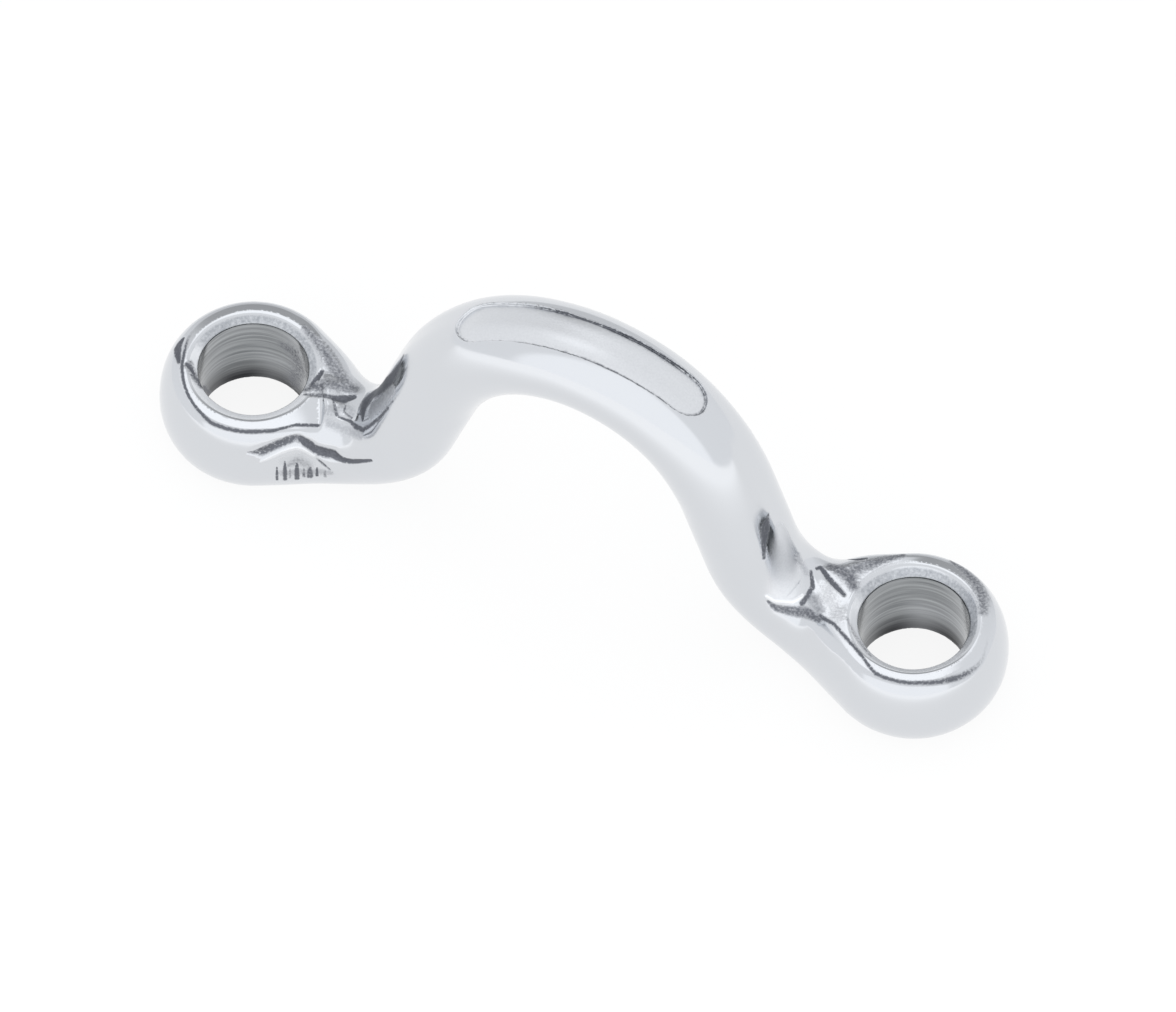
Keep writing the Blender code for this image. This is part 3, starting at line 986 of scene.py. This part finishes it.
def bore_colour(tree, rings):
    """The drill's grey rings, darkened by painted shade towards the foot of the bore."""
    ringed = mixed_colour(tree, rings, BORE_DARK, BORE_LIGHT)
    height = joined(tree, "SeparateXYZ", {0: joined(tree, "TexCoord").outputs["Object"]}).outputs["Z"]
    lowest, highest = (edge * MM for edge in BORE_SHADE_SPAN)
    above_shade = joined(tree, "MapRange", {"Value": height, "From Min": lowest, "From Max": highest})
    return mixed_colour(tree, above_shade.outputs[0], BORE_FOOT_SHADE, ringed)


def steel_colour(tree, masks, grains, rings):
    """The colour of the steel, each finish laid over the one before it."""
    cut = mixed_colour(tree, grains["sunk"], SINK_DARK, SINK_LIGHT)
    colour = mixed_colour(tree, masks["sunk"], POLISHED, cut)
    colour = mixed_colour(tree, masks["frosted"], colour, FROST_AND_SHEEN)
    colour = mixed_colour(tree, masks["bored"], colour, bore_colour(tree, rings))
    pressed = mixed_colour(tree, grains["panel"], PANEL_DARK, PANEL_LIGHT)
    colour = mixed_colour(tree, math_node(tree, "MULTIPLY", masks["panel"], PANEL_SHARE), colour, pressed)
    speckle = math_node(tree, "MULTIPLY", masks["rough"], SPECKLE_SHARE)
    colour = mixed_colour(tree, speckle, colour, SCALE_AND_SHADE_LIGHT)
    # Dark scale, and painted shade in the same colours.
    scaled = mixed_colour(tree, grains["scale"], SCALE_AND_SHADE_DARK, SCALE_AND_SHADE_LIGHT)
    return mixed_colour(tree, masks["scale"], colour, scaled)


print("polished steel reflects these shares of red, green and blue:", POLISHED[:3])

# %% Roughness and relief of the steel
POLISH_ROUGHNESS = 0.07
POLISH_SPREAD = 0.1
FINISH_ROUGHNESS = {"bored": 0.17, "sunk": 0.42, "scale": 0.5, "rough": 0.4, "panel": 0.36, "dull": 0.6}
PANEL_GRAIN_SHARE = 0.5
BUMP_STRENGTH = 0.6
BUMP_DISTANCE = 0.03


def steel_roughness(tree, masks, polish):
    """The polish's own roughness, or that of the roughest finish that lies there."""
    roughness = math_node(tree, "MULTIPLY_ADD", polish, POLISH_SPREAD, POLISH_ROUGHNESS)
    for name, value in FINISH_ROUGHNESS.items():
        finish = math_node(tree, "MULTIPLY", masks[name], value)
        roughness = math_node(tree, "MAXIMUM", roughness, finish)
    return roughness


def steel_relief(tree, read, grains, rings):
    """Normals that show rings in the bores, and grain in the rough places and the panel."""
    ringed = math_node(tree, "MULTIPLY", rings, read["bored"])
    coarse = math_node(tree, "MAXIMUM", read["rough"], read["scale"])
    coarse = math_node(tree, "MULTIPLY", grains["rough"], coarse)
    pressed = math_node(tree, "MULTIPLY", read["panel"], PANEL_GRAIN_SHARE)
    pressed = math_node(tree, "MULTIPLY", grains["panel"], pressed)
    relief = math_node(tree, "ADD", ringed, math_node(tree, "MAXIMUM", coarse, pressed))
    bump = joined(tree, "Bump", {"Height": relief, "Strength": BUMP_STRENGTH, "Distance": BUMP_DISTANCE * MM})
    return bump.outputs["Normal"]


print("roughness of each finish:", FINISH_ROUGHNESS)

# %% Steel of the strap
# Each mask's grain has a size in mm and a number for how far it eats into the mask's edge.
GRAINS = {"scale": (0.14, 2.5), "rough": (0.1, 4.0), "sunk": (0.16, 0.3), "frosted": (0.12, 0.8),
          "panel": (0.12, 0.5)}
EATEN_MASKS = ("scale", "rough", "frosted", "panel")
RING_WIDTH = 0.16
RING_STRETCH = (0.04, 0.04, 1)
POLISH_WIDTH = 0.07
POLISH_STRETCH = (0.12, 1, 0.5)


def tool_lines(tree, width, stretch):
    """Lines of one width, drawn out long."""
    links = {"Line Width mm": width, "Stretch": stretch}
    return joined(tree, "Group", links, node_tree=TOOL_LINES).outputs["Lines"]


def dress_steel(material):
    """Polished steel, with every finish that the skin's masks ask for."""
    material.use_nodes = True
    tree = material.node_tree
    shader = tree.nodes["Principled BSDF"]
    read = {name: joined(tree, "Attribute", attribute_name=name).outputs["Fac"] for name in MASKS}
    grained = {}
    for name, (size, broken) in GRAINS.items():
        links = {"Mask": read[name], "Grain Size mm": size, "Break Up": broken}
        grained[name] = joined(tree, "Group", links, node_tree=GRAIN)
    grains = {name: node.outputs["Grain"] for name, node in grained.items()}
    masks = read | {name: grained[name].outputs["Mask"] for name in EATEN_MASKS}
    rings = tool_lines(tree, RING_WIDTH, RING_STRETCH)
    polish = tool_lines(tree, POLISH_WIDTH, POLISH_STRETCH)
    tree.links.new(steel_colour(tree, masks, grains, rings), shader.inputs["Base Color"])
    shader.inputs["Metallic"].default_value = 1
    tree.links.new(steel_roughness(tree, masks, polish), shader.inputs["Roughness"])
    tree.links.new(steel_relief(tree, read, grains, rings), shader.inputs["Normal"])
    print("the steel reads", len(read), "masks and has", len(tree.nodes), "nodes")


dress_steel(steel)
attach(strap_skin, "root")
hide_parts("forged_eye_strap")

# %% [markdown]
# ## Camera
# The photograph looks down from the front and hardly shrinks what lies far away, so it was taken
# from far off. Its angle is the one at which both holes and the outline fall where they do in
# the picture. A camera without perspective would do too, but an ordinary one with a very long
# lens can be brought nearer later, as a real one can.

# %% Set up the camera
LENS = 1000
SENSOR = 36
CLIP_END = 10


def add_camera():
    """A long lens at the photograph's angle, aimed so that the strap lies where it does there."""
    right, up, towards = (Vector(axis) for axis in camera_axes())
    right_px = PHOTO_WIDTH / 2 - ORIGIN_PIXEL[0]
    up_px = ORIGIN_PIXEL[1] - PHOTO_HEIGHT / 2
    aim = (right * right_px + up * up_px) * MM / PIXELS_PER_MM
    distance = PHOTO_WIDTH / PIXELS_PER_MM * MM * LENS / SENSOR
    data = bpy.data.cameras.new("camera")
    data.lens = LENS
    data.sensor_width = SENSOR
    data.clip_end = CLIP_END
    camera = add_object("camera", data)
    camera.matrix_world = Matrix.Translation(aim + towards * distance) @ Matrix(
        (right, up, towards)).transposed().to_4x4()
    bpy.context.scene.camera = camera
    return camera


camera = add_camera()
print("camera at", [round(v, 3) for v in camera.location])

# %% [markdown]
# ## Light
# Polished steel is a picture of the room it stands in. A photographer stands such a part on white
# and surrounds it with white cloth and cards. These could be meshes, but a world whose brightness
# depends on direction does the same with far less. The cloth is white, and greyest low down
# behind the strap. One bright card stands in front, one hangs overhead, and a dark one stands
# behind. The floor is a white sheet, brighter in front of the strap. Two soft lamps help to cast
# the strap's shadow on it, and the steel doesn't reflect them.

# %% Floor
FLOOR_SIZE = 1.2
FLOOR_GAP = 0.00002
FLOOR_PAINT = {"Base Color": (0.12, 0.12, 0.12, 1), "Roughness": 0.9, "Specular IOR Level": 0,
               "Emission Color": (1, 1, 1, 1)}
FLOOR_WHITE = 0.88
FRONT = (0.26, -0.966, 0)
FRONT_GLOW = (0.010, 0.050)
FRONT_EXTRA = 0.24


def add_floor():
    """A white sheet under the strap. It glows white wherever it is seen, straight or in the
    steel, and its dark paint catches a faint shadow."""
    mesh = bpy.data.meshes.new("floor")
    half = FLOOR_SIZE / 2
    corner_places = [(-half, -half), (half, -half), (half, half), (-half, half)]
    mesh.from_pydata([(x, y, cad_low[2] - FLOOR_GAP) for x, y in corner_places], [], [(0, 1, 2, 3)])
    floor = add_object("floor", mesh)
    material = bpy.data.materials.new("white_floor")
    material.use_nodes = True
    tree = material.node_tree
    shader = tree.nodes["Principled BSDF"]
    for name, value in FLOOR_PAINT.items():
        shader.inputs[name].default_value = value
    path = joined(tree, "LightPath")
    seen = math_node(tree, "ADD", path.outputs["Is Camera Ray"], path.outputs["Is Glossy Ray"])
    seen = math_node(tree, "ADD", seen, path.outputs["Is Transmission Ray"])
    place = joined(tree, "TexCoord").outputs["Object"]
    forward = dot_product(tree, place, FRONT)
    glow = smooth_range(tree, forward, *FRONT_GLOW, FLOOR_WHITE, FLOOR_WHITE + FRONT_EXTRA)
    strength = math_node(tree, "MULTIPLY", math_node(tree, "MINIMUM", seen, 1.0), glow)
    tree.links.new(strength, shader.inputs["Emission Strength"])
    mesh.materials.append(material)


add_floor()
print("floor", FLOOR_SIZE, "m wide")

# %% World
GREY_CLOTH = (-0.35, 0.92, 0.15)
CLOTH_TINT = (0.985, 0.995, 1.01)
# How bright the cloth is, from straight away from its greyest part to straight at it.
CLOTH = [(0.0, 0.98), (0.6, 0.97), (0.8, 0.95), (0.9, 0.86), (1.0, 0.74)]
# Each card's direction, the angles at which it starts and is whole, and what it adds.
CARDS = [((0.25, -0.93, 0.27), 51, 44, 0.24), ((-0.24, 0.30, 0.92), 18, 13, 0.40),
         ((-0.33, 0.72, 0.61), 17, 8, -0.45)]


def add_world():
    """Cloth all round, greyest low down behind the strap, with bright cards and a dark one."""
    world = bpy.data.worlds.new("studio")
    world.use_nodes = True
    bpy.context.scene.world = world
    tree = world.node_tree
    background = tree.nodes["Background"]
    direction = joined(tree, "TexCoord").outputs["Generated"]
    share = math_node(tree, "MULTIPLY_ADD", dot_product(tree, direction, GREY_CLOTH), 0.5, 0.5)
    ramp = joined(tree, "ValToRGB", {0: share})
    ramp.color_ramp.interpolation = "EASE"
    stops = ramp.color_ramp.elements
    for index, (position, brightness) in enumerate(CLOTH):
        stop = stops[index] if index < 2 else stops.new(position)
        stop.position = position
        stop.color = (*(brightness * tint for tint in CLOTH_TINT), 1)
    tree.links.new(ramp.outputs["Color"], background.inputs["Color"])
    strength = 1.0
    for aim, outer, inner, extra in CARDS:
        edges = (math.cos(math.radians(angle)) for angle in (outer, inner))
        card = smooth_range(tree, dot_product(tree, direction, aim), *edges, high=extra)
        strength = math_node(tree, "ADD", strength, card)
    tree.links.new(strength, background.inputs["Strength"])


add_world()
print(len(CARDS), "cards, of which", sum(extra > 0 for *_aim, extra in CARDS), "are bright")

# %% Lamps
LAMP_SIZE = 1.0
LAMPS = {"overhead": ((-0.05, 0.10, 0.75), 0.5), "front": ((0.30, -0.55, 0.62), 0.45)}


def add_lamp(name, place, watts):
    """A soft round lamp that shines at the strap and that the steel doesn't reflect."""
    data = bpy.data.lights.new(name, "AREA")
    data.shape = "DISK"
    data.size = LAMP_SIZE
    data.energy = watts
    lamp = add_object(name, data)
    lamp.location = place
    lamp.rotation_euler = Vector(place).to_track_quat("Z", "Y").to_euler()
    lamp.visible_glossy = False


for name, (place, watts) in LAMPS.items():
    add_lamp(name, place, watts)
    print(name, "lamp of", watts, "W")

# %% Finish
bpy.context.scene.view_settings.view_transform = "Standard"
